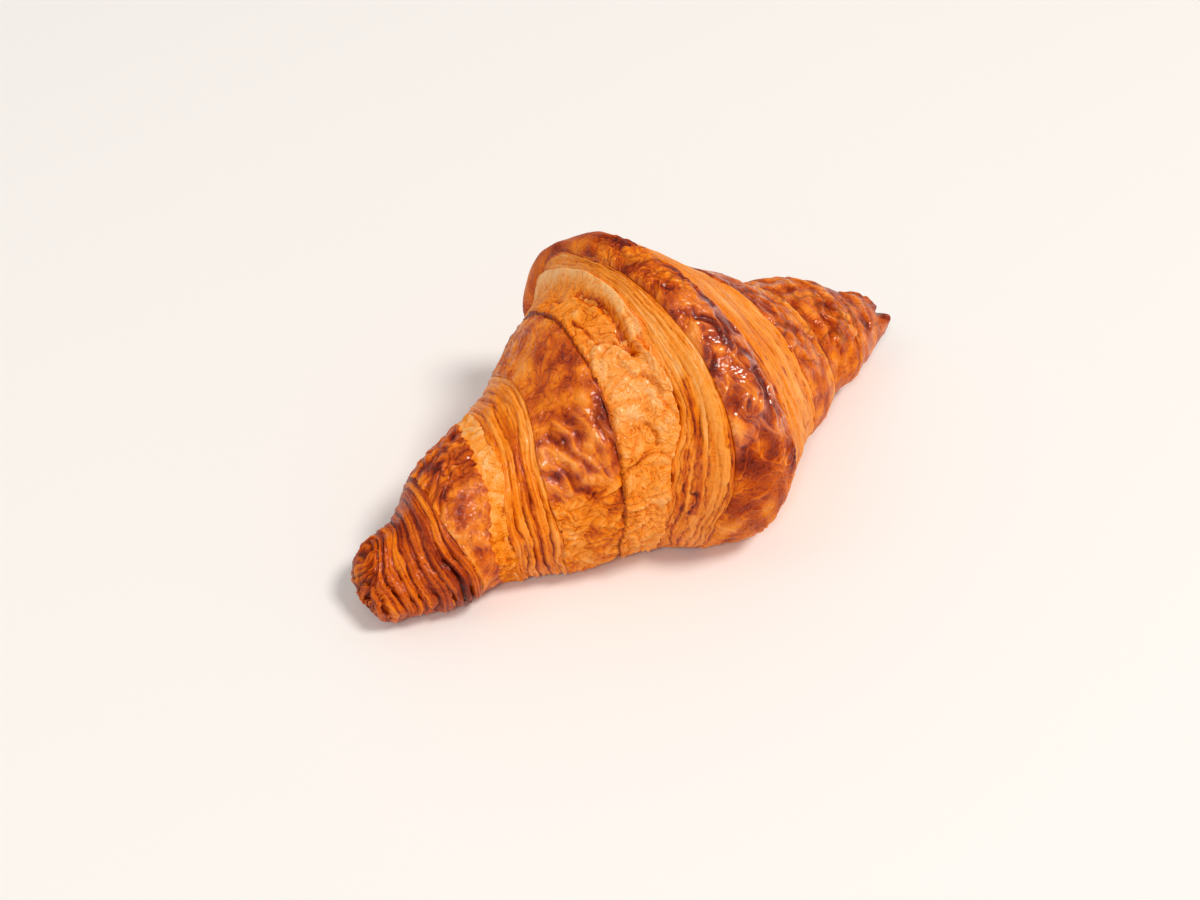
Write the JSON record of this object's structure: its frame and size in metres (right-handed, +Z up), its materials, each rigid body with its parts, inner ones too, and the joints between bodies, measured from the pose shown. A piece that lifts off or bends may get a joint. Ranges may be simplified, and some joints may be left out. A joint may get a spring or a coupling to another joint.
{
  "type": "croissant",
  "caption": "Butter croissant, baked golden brown: a straight roll of laminated dough, thick in the middle, with stepped spiral wraps and tapered tips",
  "frame": {"origin": "On the surface the croissant rests on, under the middle of its bounding box", "axes": "+Z up; +X along the roll from the blunt tip to the pointed tip; +Y to the far side, where the hood of the outer wrap overhangs"},
  "size_m": [0.165, 0.0886, 0.0697],
  "materials": {
    "baked_crust": "Egg-washed laminated pastry baked golden: red-brown glossy bands where the wash took, pale tan flaky layers on the cut sides"
  },
  "bodies": {
    "root": {"croissant": "baked_crust"}
  },
  "joints": []
}
